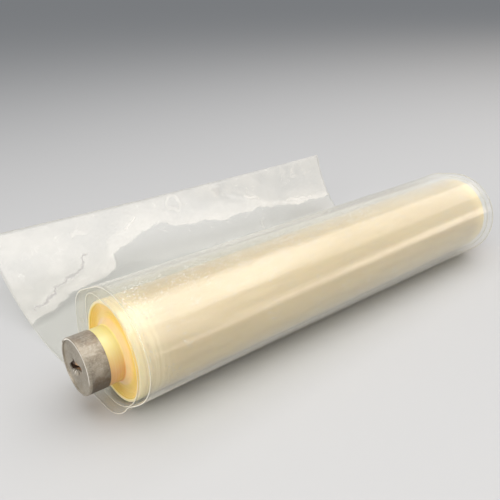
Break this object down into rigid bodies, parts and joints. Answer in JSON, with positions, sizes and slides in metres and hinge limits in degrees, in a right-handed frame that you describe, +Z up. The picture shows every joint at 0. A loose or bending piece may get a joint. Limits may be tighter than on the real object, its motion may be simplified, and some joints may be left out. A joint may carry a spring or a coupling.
{
  "type": "clear film roll",
  "caption": "Roll of stiff clear film on a wooden core with metal end cups; slack outer turns and a loose end that curls up behind it.",
  "frame": {"origin": "on the table at the web's flat spot, under the roll's axis and midway along the tight pack", "axes": "+X along the roll towards the hidden end, +Y towards the loose end of the film, +Z up"},
  "size_m": [0.3024, 0.1943, 0.0648],
  "materials": {
    "film": "glossy clear film, pale yellow where it lies in many layers",
    "film_clear": "clear glossy film in one or two layers",
    "core": "plain turned wood",
    "end_cap": "dark tarnished drawn sheet metal"
  },
  "bodies": {
    "root": {"film": "film", "core": "core", "near_end_cap": "end_cap", "far_end_cap": "end_cap"}
  },
  "joints": []
}
